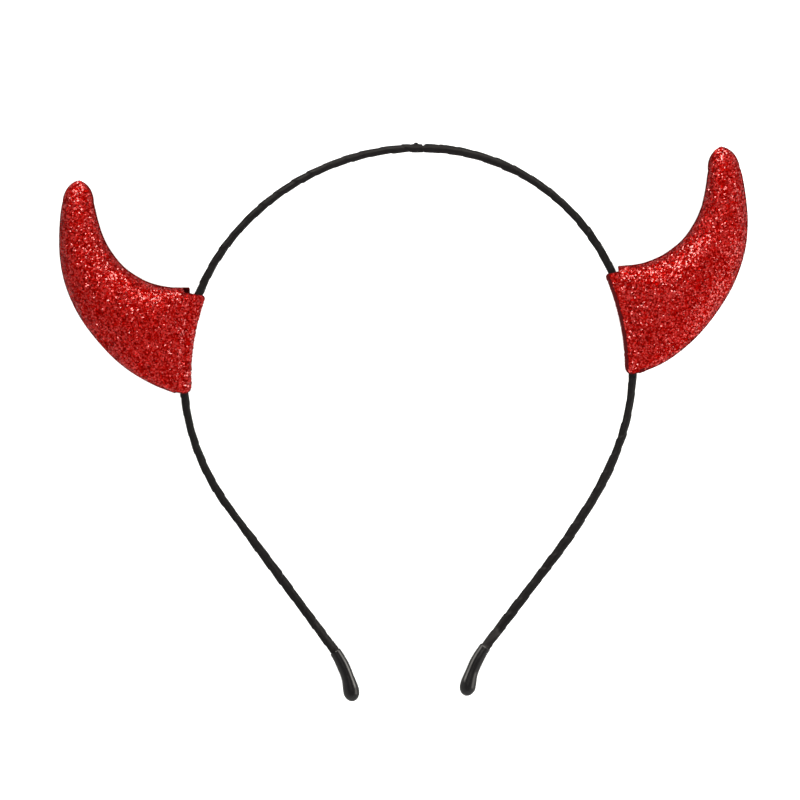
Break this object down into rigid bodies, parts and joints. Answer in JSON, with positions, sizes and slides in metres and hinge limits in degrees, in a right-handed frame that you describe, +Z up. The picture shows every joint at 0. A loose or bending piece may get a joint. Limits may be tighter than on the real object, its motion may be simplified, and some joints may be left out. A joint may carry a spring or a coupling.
{
  "type": "horn headband",
  "caption": "Slim ribbon-wound wire headband with bulb tips and padded, curved devil horns in red glitter cloth, lying flat as stored.",
  "frame": {"origin": "middle of the box round the part, on the surface it lies on", "axes": "+X across the arch from the lower horn to the higher one, +Y from the tips to the crown, +Z up off the surface"},
  "size_m": [0.1861, 0.1507, 0.0117],
  "materials": {
    "ribbon": "black satin ribbon wound on wire",
    "sleeve": "glossy black plastic",
    "glitter_cloth": "red glitter on cloth, padded"
  },
  "bodies": {
    "root": {"band": "ribbon", "wrap_join": "ribbon", "tip_left": "sleeve", "tip_right": "sleeve", "horn_left_front": "glitter_cloth", "horn_left_back": "glitter_cloth", "horn_right_front": "glitter_cloth", "horn_right_back": "glitter_cloth"}
  },
  "joints": []
}
